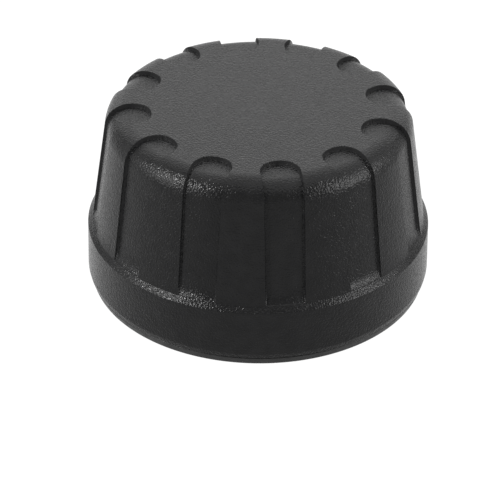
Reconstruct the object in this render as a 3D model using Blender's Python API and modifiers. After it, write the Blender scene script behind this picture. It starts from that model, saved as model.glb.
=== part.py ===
"""Valve-cap tyre pressure sensor: a screw-on cap over a threaded base that takes a tyre valve.

All lengths are metres. The axis of the sensor is Z, and the underside of the base is at Z = 0.
The cap unscrews from the base along its helical thread, which turns about +Z and rises along +Z.
"""
import math

import bmesh
import bpy
from mathutils import Matrix, Vector

MM = 0.001

# ---- driving dimensions ----
OVERALL_RADIUS = 12.5 * MM
OVERALL_HEIGHT = 13.93 * MM
FIT = 0.05 * MM                       # gap between two fixed pieces that touch
RUN = 0.15 * MM                       # gap between two pieces that slide or turn
ROUND_STEPS = 48                      # facets round the cap, the base and the board
CELL_STEPS = 36                       # facets round the cell and the seal
SMALL_STEPS = 24                      # facets round the small turned pieces
MERGE = 0.001 * MM

# cap, outside
RIM_Z = 0.65 * MM                     # lower edge of the cap, just above the base's flange
RIM_RADIUS = 12.42 * MM
SKIRT_FOOT_Z = 1.0 * MM
SKIRT_TOP_RADIUS = 12.44 * MM
SKIRT_TOP_Z = 4.42 * MM
FLANK_FOOT_RADIUS = 12.1 * MM
FLANK_FOOT_Z = 4.8 * MM
FLANK_DRAFT = 0.14                    # radius lost for each unit of height
SHOULDER_ROUND = 1.75 * MM

# cap, finger recesses
RECESS_COUNT = 12
RECESS_TURN = math.radians(9.4)       # first recess, measured from -Y towards +X
RECESS_HALF_WIDTH = 1.41 * MM
RECESS_END_RADIUS = 9.15 * MM         # centre of the round inner end, on the top face
RECESS_TOP_DEPTH = 0.28 * MM
RECESS_FLANK_DEPTH = 0.21 * MM

# cap, inside
CEILING_Z = 12.68 * MM
SEAL_BORE = 10.75 * MM
SEAL_BORE_TOP = 2.75 * MM
THREAD_BORE = 10.65 * MM
THREAD_BORE_TOP = 6.2 * MM
CAP_BORE = 10.2 * MM
CAP_BORE_Z = 10.0 * MM                # above this height the bore tapers in to the ceiling
CAP_BORE_END = 9.5 * MM

# screw thread between the cap and the base
THREAD_PITCH = 1.5 * MM
THREAD_ROOT_WIDTH = 0.8 * MM
THREAD_CREST_WIDTH = 0.4 * MM
BASE_THREAD_ROOT = 9.95 * MM
BASE_THREAD_CREST = 10.5 * MM
BASE_THREAD_Z = 3.0 * MM
BASE_THREAD_TURNS = 1.75
CAP_THREAD_CREST = 10.15 * MM
CAP_THREAD_TURNS = 1.5
THREAD_STEPS = 24                     # facets in one turn of a thread

# base
FLANGE_TOP = RIM_Z - RUN
FLANGE_RADIUS = 12.38 * MM
FLANGE_FOOT_RADIUS = 12.2 * MM
GROOVE_LIP = 10.4 * MM
GROOVE_ROOT = 9.6 * MM
GROOVE_FOOT = 0.95 * MM
GROOVE_TOP = 2.15 * MM
NECK_SHOULDER = 2.5 * MM
NECK_TOP = 9.2 * MM
NECK_TOP_RADIUS = 9.75 * MM
NECK_BORE = 9.15 * MM
POCKET_OUTER = 8.3 * MM
POCKET_INNER = 5.9 * MM
POCKET_FLOOR = 1.3 * MM
LEDGE_Z = 7.2 * MM
WEB_FOOT = 5.55 * MM
WEB_TOP = 5.95 * MM
CHIP_WELL_RADIUS = 4.9 * MM
PORT_RADIUS = 0.6 * MM
WRENCH_SLOTS = 4
WRENCH_SLOT = (1.1 * MM, 2.4 * MM, 0.6 * MM)    # half length along the radius, width, depth
WRENCH_SLOT_RADIUS = 7.6 * MM

# valve socket: the tyre valve's thread is 7.7 mm across with 32 turns to the inch
SOCKET_RADIUS = 4.8 * MM
SOCKET_TOP = 4.4 * MM
INSERT_RADIUS = SOCKET_RADIUS - 2 * FIT
INSERT_FOOT = 0.1 * MM
INSERT_WAIST = (0.42, 0.58)           # foot and top of the waist, as shares of the height
INSERT_WAIST_DEPTH = 0.3 * MM
INSERT_LEAD = 0.25 * MM               # chamfer at the mouth of the thread
VALVE_PITCH = 25.4 * MM / 32
VALVE_THREAD_ROOT = 3.9 * MM
VALVE_THREAD_CREST = 3.5 * MM
GASKET_POCKET = 3.85 * MM
GASKET_HOLE = 1.7 * MM
GASKET_THICK = 0.7 * MM
PIN_RADIUS = 0.75 * MM
PIN_TIP_Z = 3.4 * MM
PIN_FLANGE_THICK = 0.3 * MM
AIR_HOLES = 4
AIR_HOLE_RADIUS = 0.35 * MM
AIR_HOLE_CIRCLE = 1.25 * MM

# circuit board and what it carries
BOARD_RADIUS = 9.05 * MM
BOARD_THICK = 0.8 * MM
BOARD_FOOT = LEDGE_Z + FIT
BOARD_TOP = BOARD_FOOT + BOARD_THICK
CHIP_SIZE = (4.6 * MM, 4.2 * MM, 0.85 * MM)
CRYSTAL_SIZE = (2.5 * MM, 2.0 * MM, 0.6 * MM)
INDUCTOR_SIZE = (1.6 * MM, 1.2 * MM, 0.9 * MM)
CAPACITOR_SIZE = (1.0 * MM, 0.5 * MM, 0.5 * MM)
CRYSTAL_TURN = 0
INDUCTOR_TURN = math.radians(120)
CAPACITOR_TURNS = [math.radians(degrees) for degrees in (96, 144, 226, 254)]
SMALL_PART_RADIUS = 7.1 * MM          # circle that the screws and the small parts stand on
SCREW_COUNT = 3
SCREW_TURN = math.radians(60)
SCREW_HEAD = (1.05 * MM, 0.55 * MM)
SCREW_SHANK = (0.42 * MM, 3.4 * MM)
SCREW_HOLE = 0.55 * MM
PILLAR_RADIUS = 1.35 * MM
ANTENNA_RADIUS = 8.62 * MM
ANTENNA_WIRE = 0.22 * MM
ANTENNA_Z = 8.58 * MM
ANTENNA_GAP = math.radians(28)        # half the break in the loop, where the clip stands

# coin cell, 16 mm across and 3.2 mm high, with its positive can upwards
CELL_RADIUS = 8.0 * MM
CELL_HEIGHT = 3.2 * MM
CELL_FOOT = 8.9 * MM
CELL_TOP = CELL_FOOT + CELL_HEIGHT
CELL_WALL = 0.22 * MM
CELL_GASKET_WALL = 0.27 * MM
CAN_LIP_Z = CELL_FOOT + 0.1 * MM      # the can's rolled edge stands back from the lid's face
CAN_ROUND = 0.45 * MM
LID_FACE_RADIUS = 6.4 * MM
LID_FLANGE_Z = CELL_FOOT + 0.72 * MM
LID_TOP = CELL_TOP - 1.1 * MM
PAD_RADIUS = 5.5 * MM
HOLDER_BORE = 8.12 * MM
HOLDER_TOP = 10.6 * MM
HOLDER_FOOT = 8.9 * MM
SLOT_HALF_WIDTH = 1.8 * MM
CLIP_WIDTH = 3.0 * MM
CLIP_THICK = 0.2 * MM
CLIP_TOE = 0.6 * MM                   # length of the foot on the board
CLIP_STAND_OFF = 0.15 * MM            # the upright stands behind the stretch that touches the can
CLIP_BENDS = (9.6 * MM, 10.4 * MM, 11.2 * MM, 11.8 * MM)
SPRING_WIDTH = 2.4 * MM
SPRING_THICK = 0.14 * MM


# ---- materials ----
def material(name, color, roughness, metallic=0.0):
    made = bpy.data.materials.new(name)
    made.use_nodes = True
    shader = made.node_tree.nodes["Principled BSDF"]
    shader.inputs["Base Color"].default_value = (*color, 1.0)
    shader.inputs["Roughness"].default_value = roughness
    shader.inputs["Metallic"].default_value = metallic
    return made


# ---- scene and objects ----
def clear_scene():
    for old in list(bpy.data.objects):
        bpy.data.objects.remove(old, do_unlink=True)


def collection(name):
    made = bpy.data.collections.new(name)
    bpy.context.scene.collection.children.link(made)
    return made


def empty(name, group):
    made = bpy.data.objects.new(name, None)
    made.empty_display_size = 5 * MM
    group.objects.link(made)
    return made


def object_from(bm, name, group):
    """The mesh bm as an object in the group; bm is freed."""
    mesh = bpy.data.meshes.new(name)
    bm.to_mesh(mesh)
    bm.free()
    made = bpy.data.objects.new(name, mesh)
    group.objects.link(made)
    return made


def finish(part, look, parent=None):
    part.data.materials.append(look)
    part.parent = parent
    part.data.shade_smooth()
    part.data.set_sharp_from_angle(angle=math.radians(30))
    return part


def as_cutter(cutter):
    cutter.hide_render = True
    cutter.display_type = "WIRE"
    return cutter


def boolean(part, other, operation):
    """Join, cut or intersect the part with another object, which becomes a hidden tool."""
    step = part.modifiers.new(operation.lower(), "BOOLEAN")
    step.object = as_cutter(other)
    step.operation = operation
    step.solver = "EXACT"


# ---- shapes ----
def rounded(corners, arc_steps=4):
    """Corner points (x, z, radius) as plain points, with each radius drawn as an arc."""
    points = []
    count = len(corners)
    for index, (x, z, radius) in enumerate(corners):
        corner = Vector((x, z))
        if radius == 0:
            points.append(corner)
            continue
        before = Vector(corners[index - 1][:2]) - corner
        after = Vector(corners[(index + 1) % count][:2]) - corner
        half_angle = before.angle(after) / 2
        reach = radius / math.tan(half_angle)
        middle = (before.normalized() + after.normalized()).normalized()
        centre = corner + middle * (radius / math.sin(half_angle))
        start = corner + before.normalized() * reach - centre
        end = corner + after.normalized() * reach - centre
        sweep = start.angle_signed(end)
        for step in range(arc_steps + 1):
            turn = Matrix.Rotation(-sweep * step / arc_steps, 2)
            points.append(centre + turn @ start)
    return points


def turned(name, outline, group, steps=SMALL_STEPS, closed=True):
    """A profile in the XZ plane swept round Z. It runs down its outer side."""
    bm = bmesh.new()
    verts = [bm.verts.new((point[0], 0, point[1])) for point in outline]
    pairs = list(zip(verts, verts[1:]))
    if closed:
        pairs.append((verts[-1], verts[0]))
    for first, second in pairs:
        bm.edges.new((first, second))
    part = object_from(bm, name, group)
    sweep = part.modifiers.new("sweep", "SCREW")
    sweep.axis = "Z"
    sweep.steps = steps
    sweep.render_steps = steps
    sweep.use_merge_vertices = True
    sweep.merge_threshold = MERGE
    return part


def disc(name, radius, foot, top, group, steps=SMALL_STEPS):
    bm = bmesh.new()
    bmesh.ops.create_cone(bm, cap_ends=True, segments=steps, radius1=radius, radius2=radius,
                          depth=top - foot)
    bmesh.ops.translate(bm, verts=bm.verts, vec=(0, 0, (foot + top) / 2))
    return object_from(bm, name, group)


def ring(name, inner, outer, foot, top, group, steps=SMALL_STEPS):
    outline = [(outer, top), (outer, foot), (inner, foot), (inner, top)]
    return turned(name, outline, group, steps)


def block(name, size, centre, turn, group, edge=0.0):
    """A box, turned about the Z axis of the sensor, with an optional small bevel."""
    bm = bmesh.new()
    place = Matrix.Rotation(turn, 4, "Z") @ Matrix.Translation(centre)
    bmesh.ops.create_cube(bm, size=1.0, matrix=place @ Matrix.Diagonal((*size, 1.0)))
    part = object_from(bm, name, group)
    if edge:
        bevel = part.modifiers.new("edge", "BEVEL")
        bevel.width = edge
        bevel.segments = 1
    return part


def peg(bm, radius, foot, top, centre, steps):
    """Add one upright round peg to bm."""
    place = Matrix.Translation((centre[0], centre[1], (foot + top) / 2))
    bmesh.ops.create_cone(bm, cap_ends=True, segments=steps, radius1=radius, radius2=radius,
                          depth=top - foot, matrix=place)


def on_circle(radius, turn):
    return Vector((radius * math.cos(turn), radius * math.sin(turn), 0))


def thread(name, wall, crest, start_z, pitch, turns, widths, group, steps=THREAD_STEPS):
    """A helical ridge from inside the wall to its crest, with flat ends."""
    root_width, crest_width = widths
    sunk = wall - math.copysign(0.2 * MM, crest - wall)
    bm = bmesh.new()
    corners = [(sunk, -root_width / 2), (wall, -root_width / 2), (crest, -crest_width / 2),
               (crest, crest_width / 2), (wall, root_width / 2), (sunk, root_width / 2)]
    verts = [bm.verts.new((x, 0, start_z + z)) for x, z in corners]
    face = bm.faces.new(verts)
    count = round(steps * turns)
    bmesh.ops.spin(bm, geom=[face, *face.edges, *face.verts], cent=(0, 0, 0), axis=(0, 0, 1),
                   dvec=(0, 0, pitch * turns / count), angle=math.tau * turns, steps=count)
    bmesh.ops.remove_doubles(bm, verts=bm.verts, dist=MERGE)
    bmesh.ops.recalc_face_normals(bm, faces=bm.faces)
    return object_from(bm, name, group)


def strip(name, path, width, thick, group):
    """A bent metal strip: a path in the XZ plane, given a width along Y and a thickness."""
    bm = bmesh.new()
    verts = [bm.verts.new((x, -width / 2, z)) for x, z in path]
    edges = [bm.edges.new(pair) for pair in zip(verts, verts[1:])]
    side = bmesh.ops.extrude_edge_only(bm, edges=edges)["geom"]
    moved = [item for item in side if isinstance(item, bmesh.types.BMVert)]
    bmesh.ops.translate(bm, verts=moved, vec=(0, width, 0))
    part = object_from(bm, name, group)
    solid = part.modifiers.new("sheet", "SOLIDIFY")
    solid.thickness = thick
    solid.offset = 0
    solid.use_even_offset = True
    return part


# ---- the cap ----
def flank_radius(z):
    return FLANK_FOOT_RADIUS - FLANK_DRAFT * (z - FLANK_FOOT_Z)


def cap_outside():
    """The cap's outer line from the middle of the top down to the rim, as corners."""
    return [(0, OVERALL_HEIGHT, 0),
            (flank_radius(OVERALL_HEIGHT), OVERALL_HEIGHT, SHOULDER_ROUND),
            (FLANK_FOOT_RADIUS, FLANK_FOOT_Z, 0),
            (SKIRT_TOP_RADIUS, SKIRT_TOP_Z, 0),
            (OVERALL_RADIUS, SKIRT_FOOT_Z, 0),
            (RIM_RADIUS, RIM_Z, 0)]


def cap_inside():
    """The cap's inner line from the rim up to the middle of the ceiling, as corners."""
    lead = 0.2 * MM
    return [(SEAL_BORE + lead, RIM_Z, 0),
            (SEAL_BORE, RIM_Z + lead, 0),
            (SEAL_BORE, SEAL_BORE_TOP, 0),
            (THREAD_BORE, SEAL_BORE_TOP + lead, 0),
            (THREAD_BORE, THREAD_BORE_TOP, 0),
            (CAP_BORE, THREAD_BORE_TOP + 2 * lead, 0),
            (CAP_BORE - RUN, CAP_BORE_Z, 0),
            (CAP_BORE_END, CEILING_Z, 4 * lead),
            (0, CEILING_Z, 0)]


def recess_tools(cutters):
    """The twelve recesses as solids: slots that meet a band just under the outer surface."""
    far = OVERALL_RADIUS + 2 * MM
    high = OVERALL_HEIGHT + 2 * MM
    inset = RECESS_FLANK_DEPTH * math.hypot(1, FLANK_DRAFT)
    floor_top = OVERALL_HEIGHT - RECESS_TOP_DEPTH
    floor_radius = flank_radius(floor_top) - inset
    foot_radius = FLANK_FOOT_RADIUS - inset
    start = RECESS_END_RADIUS - 2 * RECESS_HALF_WIDTH
    band = rounded([(start, high, 0), (far, high, 0), (far, FLANK_FOOT_Z, 0),
                    (foot_radius, FLANK_FOOT_Z, 0),
                    (floor_radius, floor_top, SHOULDER_ROUND - RECESS_FLANK_DEPTH),
                    (start, floor_top, 0)])
    recesses = turned("recess_band", band, cutters, ROUND_STEPS)
    bm = bmesh.new()
    for index in range(RECESS_COUNT):
        turn = RECESS_TURN - math.pi / 2 + index * math.tau / RECESS_COUNT
        place = Matrix.Rotation(turn, 4, "Z")
        side = RECESS_HALF_WIDTH
        arc = [math.pi / 2 + math.pi * step / 8 for step in range(9)]
        outline = [(RECESS_END_RADIUS + side * math.cos(a), side * math.sin(a)) for a in arc]
        outline += [(far + side, -side), (far + side, side)]
        verts = [bm.verts.new(place @ Vector((x, y, 0))) for x, y in outline]
        face = bm.faces.new(verts)
        lifted = bmesh.ops.extrude_face_region(bm, geom=[face])["geom"]
        top = [item for item in lifted if isinstance(item, bmesh.types.BMVert)]
        bmesh.ops.translate(bm, verts=top, vec=(0, 0, high + MM))
    bmesh.ops.recalc_face_normals(bm, faces=bm.faces)
    slots = object_from(bm, "recess_slots", cutters)
    boolean(recesses, slots, "INTERSECT")
    return recesses


def outer_cap(parts, cutters):
    outline = rounded(cap_outside() + cap_inside())
    cap = turned("outer_cap", outline, parts, ROUND_STEPS, closed=False)
    boolean(cap, recess_tools(cutters), "DIFFERENCE")
    ridge = thread("cap_thread", THREAD_BORE, CAP_THREAD_CREST, BASE_THREAD_Z + THREAD_PITCH / 2,
                   THREAD_PITCH, CAP_THREAD_TURNS, (THREAD_ROOT_WIDTH, THREAD_CREST_WIDTH), cutters)
    boolean(cap, ridge, "UNION")
    return cap


def battery_pad(parts):
    return disc("battery_pad", PAD_RADIUS, CELL_TOP + FIT, CEILING_Z - FIT, parts)


def cap_o_ring(parts):
    """The ring fills the groove between the base's neck and the cap's smooth bore."""
    inner = GROOVE_ROOT + FIT
    outer = SEAL_BORE - FIT
    section = (outer - inner) / 2
    bpy.ops.mesh.primitive_torus_add(major_segments=CELL_STEPS, minor_segments=8,
                                     major_radius=(outer + inner) / 2, minor_radius=section,
                                     location=(0, 0, (GROOVE_FOOT + GROOVE_TOP) / 2))
    made = bpy.context.object
    made.name = "cap_o_ring"
    for group in list(made.users_collection):
        group.objects.unlink(made)
    parts.objects.link(made)
    return made


# ---- the base ----
def screw_turns():
    return [SCREW_TURN + index * math.tau / SCREW_COUNT for index in range(SCREW_COUNT)]


def base_housing(parts, cutters):
    lead = 0.2 * MM
    corners = [(NECK_TOP_RADIUS, NECK_TOP, 0), (NECK_TOP_RADIUS, LEDGE_Z, 0),
               (BASE_THREAD_ROOT, LEDGE_Z - lead, 0), (BASE_THREAD_ROOT, NECK_SHOULDER, 0),
               (GROOVE_LIP, NECK_SHOULDER - lead, 0), (GROOVE_LIP, GROOVE_TOP, 0),
               (GROOVE_ROOT, GROOVE_TOP, 0), (GROOVE_ROOT, GROOVE_FOOT, 0),
               (GROOVE_LIP, GROOVE_FOOT, 0), (GROOVE_LIP, FLANGE_TOP, 0),
               (FLANGE_RADIUS, FLANGE_TOP, 0), (FLANGE_FOOT_RADIUS, 0, 0),
               (SOCKET_RADIUS + lead, 0, 0), (SOCKET_RADIUS, lead, 0),
               (SOCKET_RADIUS, SOCKET_TOP, 0), (GASKET_POCKET, SOCKET_TOP, 0),
               (GASKET_POCKET, WEB_FOOT, 0), (PORT_RADIUS, WEB_FOOT, 0),
               (PORT_RADIUS, WEB_TOP, 0), (CHIP_WELL_RADIUS, WEB_TOP, 0),
               (CHIP_WELL_RADIUS, LEDGE_Z, 0), (POCKET_INNER, LEDGE_Z, 0),
               (POCKET_INNER, POCKET_FLOOR, 0), (POCKET_OUTER, POCKET_FLOOR, 0),
               (POCKET_OUTER, LEDGE_Z, 0), (NECK_BORE, LEDGE_Z, 0), (NECK_BORE, NECK_TOP, 0)]
    base = turned("base_housing", rounded(corners), parts, ROUND_STEPS)
    pillars = bmesh.new()
    holes = bmesh.new()
    for turn in screw_turns():
        centre = on_circle(SMALL_PART_RADIUS, turn)
        peg(pillars, PILLAR_RADIUS, POCKET_FLOOR - lead, LEDGE_Z - FIT, centre, 12)
        peg(holes, SCREW_HOLE, BOARD_FOOT - SCREW_SHANK[1], BOARD_TOP, centre, 8)
    boolean(base, object_from(pillars, "screw_pillars", cutters), "UNION")
    boolean(base, object_from(holes, "screw_pilot_holes", cutters), "DIFFERENCE")
    half, width, depth = WRENCH_SLOT
    slots = bmesh.new()
    for index in range(WRENCH_SLOTS):
        place = Matrix.Rotation(index * math.tau / WRENCH_SLOTS, 4, "Z")
        place = place @ Matrix.Translation((WRENCH_SLOT_RADIUS, 0, 0))
        size = Matrix.Diagonal((2 * half, width, 2 * depth, 1.0))
        bmesh.ops.create_cube(slots, size=1.0, matrix=place @ size)
    boolean(base, object_from(slots, "wrench_slots", cutters), "DIFFERENCE")
    ridge = thread("base_thread", BASE_THREAD_ROOT, BASE_THREAD_CREST, BASE_THREAD_Z, THREAD_PITCH,
                   BASE_THREAD_TURNS, (THREAD_ROOT_WIDTH, THREAD_CREST_WIDTH), cutters)
    boolean(base, ridge, "UNION")
    return base


def valve_insert(parts, cutters):
    """Brass insert with a waist that keys it into the base, and the tyre valve's thread."""
    top = SOCKET_TOP - FIT
    waist_foot, waist_top = [INSERT_FOOT + share * (top - INSERT_FOOT) for share in INSERT_WAIST]
    waist = INSERT_RADIUS - INSERT_WAIST_DEPTH
    mouth = VALVE_THREAD_ROOT + INSERT_LEAD
    outline = [(INSERT_RADIUS, top), (INSERT_RADIUS, waist_top), (waist, waist_top),
               (waist, waist_foot), (INSERT_RADIUS, waist_foot), (INSERT_RADIUS, INSERT_FOOT),
               (mouth, INSERT_FOOT), (VALVE_THREAD_ROOT, INSERT_FOOT + INSERT_LEAD),
               (VALVE_THREAD_ROOT, top)]
    insert = turned("valve_insert", outline, parts)
    turns = (top - INSERT_FOOT) / VALVE_PITCH - 1.4
    ridge = thread("valve_thread", VALVE_THREAD_ROOT, VALVE_THREAD_CREST,
                   INSERT_FOOT + 0.75 * VALVE_PITCH, VALVE_PITCH, turns,
                   (0.72 * VALVE_PITCH, 0.15 * VALVE_PITCH), cutters, 16)
    boolean(insert, ridge, "UNION")
    return insert


def valve_gasket(parts):
    foot = SOCKET_TOP + FIT
    return ring("valve_gasket", GASKET_HOLE, GASKET_POCKET - FIT, foot, foot + GASKET_THICK, parts)


def core_depressor(parts, cutters):
    """The pin that opens the valve, on a flange with air holes."""
    top = WEB_FOOT - FIT
    foot = top - PIN_FLANGE_THICK
    tip = 0.2 * MM
    outline = [(0, top), (GASKET_POCKET - 3 * FIT, top), (GASKET_POCKET - 3 * FIT, foot),
               (PIN_RADIUS, foot), (PIN_RADIUS, PIN_TIP_Z + tip), (PIN_RADIUS - tip, PIN_TIP_Z),
               (0, PIN_TIP_Z)]
    pin = turned("core_depressor", outline, parts, closed=False)
    holes = bmesh.new()
    for index in range(AIR_HOLES):
        centre = on_circle(AIR_HOLE_CIRCLE, index * math.tau / AIR_HOLES)
        peg(holes, AIR_HOLE_RADIUS, foot - MM, top + MM, centre, 8)
    boolean(pin, object_from(holes, "air_holes", cutters), "DIFFERENCE")
    return pin


# ---- the electronics ----
def port_seal(parts):
    return ring("port_seal", PORT_RADIUS + 0.4 * MM, 2.3 * MM, WEB_TOP + FIT,
                BOARD_FOOT - FIT - CHIP_SIZE[2] - FIT, parts)


def sensor_chip(parts, cutters):
    centre = (0, 0, BOARD_FOOT - FIT - CHIP_SIZE[2] / 2)
    chip = block("sensor_chip", CHIP_SIZE, centre, 0, parts, 0.06 * MM)
    foot = BOARD_FOOT - FIT - CHIP_SIZE[2]
    port = disc("pressure_port", 0.45 * MM, foot - MM, foot + 0.35 * MM, cutters, 16)
    boolean(chip, port, "DIFFERENCE")
    return chip


def circuit_board(parts, cutters):
    board = disc("circuit_board", BOARD_RADIUS, BOARD_FOOT, BOARD_TOP, parts, ROUND_STEPS)
    holes = bmesh.new()
    for turn in screw_turns():
        peg(holes, SCREW_HOLE, BOARD_FOOT - MM, BOARD_TOP + MM,
            on_circle(SMALL_PART_RADIUS, turn), 8)
    boolean(board, object_from(holes, "board_screw_holes", cutters), "DIFFERENCE")
    return board


def under_board(name, size, turn, parts):
    """A small part soldered to the board's underside, in the base's ring-shaped pocket."""
    centre = (SMALL_PART_RADIUS, 0, BOARD_FOOT - FIT - size[2] / 2)
    across = (size[1], size[0], size[2])
    return block(name, across, centre, turn, parts, 0.05 * MM)


def board_screw(name, turn, parts):
    head_radius, head_high = SCREW_HEAD
    shank_radius, shank_long = SCREW_SHANK
    foot = BOARD_TOP + FIT
    tip = 0.4 * MM
    end = foot - shank_long
    outline = [(0, foot + head_high), (0.7 * head_radius, foot + head_high),
               (head_radius, foot + 0.5 * head_high), (head_radius, foot), (shank_radius, foot),
               (shank_radius, end + tip), (0, end)]
    screw = turned(name, outline, parts, 12, closed=False)
    screw.location = on_circle(SMALL_PART_RADIUS, turn)
    return screw


def mesh_from_curve(curve_object, group):
    """The curve object's tube as a welded mesh object, in its place."""
    graph = bpy.context.evaluated_depsgraph_get()
    mesh = bpy.data.meshes.new_from_object(curve_object.evaluated_get(graph))
    bm = bmesh.new()
    bm.from_mesh(mesh)
    bmesh.ops.remove_doubles(bm, verts=bm.verts, dist=MERGE)
    bm.to_mesh(mesh)
    bm.free()
    made = bpy.data.objects.new(curve_object.name + "_mesh", mesh)
    made.matrix_world = curve_object.matrix_world
    group.objects.link(made)
    name = curve_object.name
    bpy.data.objects.remove(curve_object, do_unlink=True)
    made.name = name
    return made


def antenna_loop(parts):
    """A round wire that circles the cell and stands on the board by its two ends."""
    foot = BOARD_TOP + FIT
    turns = [ANTENNA_GAP + (math.tau - 2 * ANTENNA_GAP) * step / 48 for step in range(49)]
    route = [on_circle(ANTENNA_RADIUS, turn) + Vector((0, 0, ANTENNA_Z)) for turn in turns]
    route.insert(0, Vector((*route[0].xy, foot)))
    route.append(Vector((*route[-1].xy, foot)))
    line = bpy.data.curves.new("antenna_loop", "CURVE")
    line.dimensions = "3D"
    line.bevel_depth = ANTENNA_WIRE
    line.bevel_resolution = 1
    line.use_fill_caps = True
    spline = line.splines.new("POLY")
    spline.points.add(len(route) - 1)
    for point, place in zip(spline.points, route):
        point.co = (*place, 1.0)
    wire = bpy.data.objects.new("antenna_loop", line)
    parts.objects.link(wire)
    bpy.context.view_layer.update()
    return mesh_from_curve(wire, parts)


def negative_contact(parts):
    """A bowed leaf: its middle stands on the board, and its two ends press on the cell."""
    foot = BOARD_TOP + FIT + SPRING_THICK / 2
    crest = CELL_FOOT - FIT - SPRING_THICK / 2
    side = [(0.6, 0.0), (1.4, 0.05), (2.6, 0.55), (3.4, 0.95), (3.8, 1.0), (4.2, 0.8)]
    half = [(x * MM, foot + rise * (crest - foot)) for x, rise in side]
    path = [(-x, z) for x, z in reversed(half)] + half
    return strip("negative_contact", path, SPRING_WIDTH, SPRING_THICK, parts)


def positive_clip(parts):
    """A springy upright that leans on the side of the cell's can."""
    foot = BOARD_TOP + FIT + CLIP_THICK / 2
    near = CELL_RADIUS + FIT + CLIP_THICK / 2
    back = near + CLIP_STAND_OFF
    knee, touch, release, tip = CLIP_BENDS
    path = [(near + CLIP_TOE, foot), (back, foot), (back, knee), (near, touch), (near, release),
            (back + CLIP_STAND_OFF, tip)]
    return strip("positive_clip", path, CLIP_WIDTH, CLIP_THICK, parts)


# ---- the coin cell and its holder ----
def cell_holder(parts, cutters):
    """A ring that centres the cell. It rests on the neck and on three small legs."""
    outer = NECK_BORE - 2 * FIT
    lip = NECK_TOP_RADIUS
    seat = NECK_TOP + FIT
    corners = [(outer - 0.1 * MM, HOLDER_TOP), (outer - 0.1 * MM, seat + 0.5 * MM),
               (lip, seat + 0.5 * MM), (lip, seat), (outer, seat), (outer, HOLDER_FOOT),
               (HOLDER_BORE, HOLDER_FOOT), (HOLDER_BORE, HOLDER_TOP - 0.3 * MM),
               (HOLDER_BORE + 0.25 * MM, HOLDER_TOP)]
    holder = turned("cell_holder", corners, parts, ROUND_STEPS)
    legs = bmesh.new()
    for index in range(3):
        place = Matrix.Rotation(math.pi / 2 + index * math.tau / 3, 4, "Z")
        low = BOARD_TOP + FIT
        high = HOLDER_FOOT + 0.2 * MM
        inner = HOLDER_BORE + 0.04 * MM
        thick = 0.14 * MM
        place = place @ Matrix.Translation((inner + thick / 2, 0, (low + high) / 2))
        size = Matrix.Diagonal((thick, 1.2 * MM, high - low, 1.0))
        bmesh.ops.create_cube(legs, size=1.0, matrix=place @ size)
    boolean(holder, object_from(legs, "holder_legs", cutters), "UNION")
    slot_size = (4 * MM, 2 * SLOT_HALF_WIDTH, 8 * MM)
    slot = block("clip_slot", slot_size, (CELL_RADIUS + 0.5 * MM, 0, CELL_TOP), 0, cutters)
    boolean(holder, slot, "DIFFERENCE")
    return holder


def cell_can(parts):
    wall = CELL_WALL
    lip = CAN_LIP_Z
    lip_radius = CELL_RADIUS - 0.75 * MM
    inner = CELL_RADIUS - wall
    corner = CAN_ROUND - wall
    corners = [(0, CELL_TOP, 0), (CELL_RADIUS, CELL_TOP, CAN_ROUND),
               (CELL_RADIUS, lip, CAN_ROUND), (lip_radius, lip, 0), (lip_radius, lip + wall, 0),
               (inner, lip + wall, corner), (inner, CELL_TOP - wall, corner),
               (0, CELL_TOP - wall, 0)]
    return turned("cell_can", rounded(corners, 2), parts, CELL_STEPS, closed=False)


def cell_gasket(parts):
    """The plastic ring that insulates the lid from the can."""
    lip = CAN_LIP_Z
    outer = CELL_RADIUS - CELL_WALL - FIT
    inner = outer - CELL_GASKET_WALL
    seat = lip + CELL_WALL + FIT
    tongue = CELL_RADIUS - 0.8 * MM
    tongue_inner = tongue - 0.25 * MM
    rise = 0.25 * MM
    corner = 0.25 * MM
    corners = [(outer, CELL_TOP - 0.9 * MM, 0), (outer, seat, corner), (tongue, seat, 0),
               (tongue, lip, 0), (tongue_inner, lip, 0), (tongue_inner, seat + rise, 0),
               (inner, seat + rise, 0), (inner, CELL_TOP - 0.9 * MM, 0)]
    return turned("cell_gasket", rounded(corners, 1), parts, CELL_STEPS)


def cell_lid(parts):
    """The negative lid: a shallow cup whose edge turns up inside the gasket."""
    wall = CELL_WALL
    edge = CELL_RADIUS - CELL_WALL - CELL_GASKET_WALL - 2 * FIT
    flange = LID_FLANGE_Z
    face = LID_FACE_RADIUS
    outline = [(0, CELL_FOOT + wall), (face - wall, CELL_FOOT + wall),
               (face + 0.15 * MM, flange + wall), (edge - wall, flange + wall),
               (edge - wall, LID_TOP), (edge, LID_TOP), (edge, flange), (face + 0.35 * MM, flange),
               (face, CELL_FOOT), (0, CELL_FOOT)]
    return turned("cell_lid", outline, parts, CELL_STEPS, closed=False)


def cell_core(parts):
    """Inside the cell, from the lid up: lithium, separator and the pressed cathode."""
    lid_floor = CELL_FOOT + CELL_WALL + FIT
    lithium_top = lid_floor + 0.65 * MM
    separator_foot = LID_FLANGE_Z + CELL_WALL + FIT
    separator_top = separator_foot + 0.12 * MM
    return [disc("lithium_anode", 6.0 * MM, lid_floor, lithium_top, parts),
            disc("cell_separator", 7.05 * MM, separator_foot, separator_top, parts),
            disc("cathode_pellet", 6.9 * MM, separator_top + FIT,
                 CELL_TOP - CELL_WALL - FIT, parts)]


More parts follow.
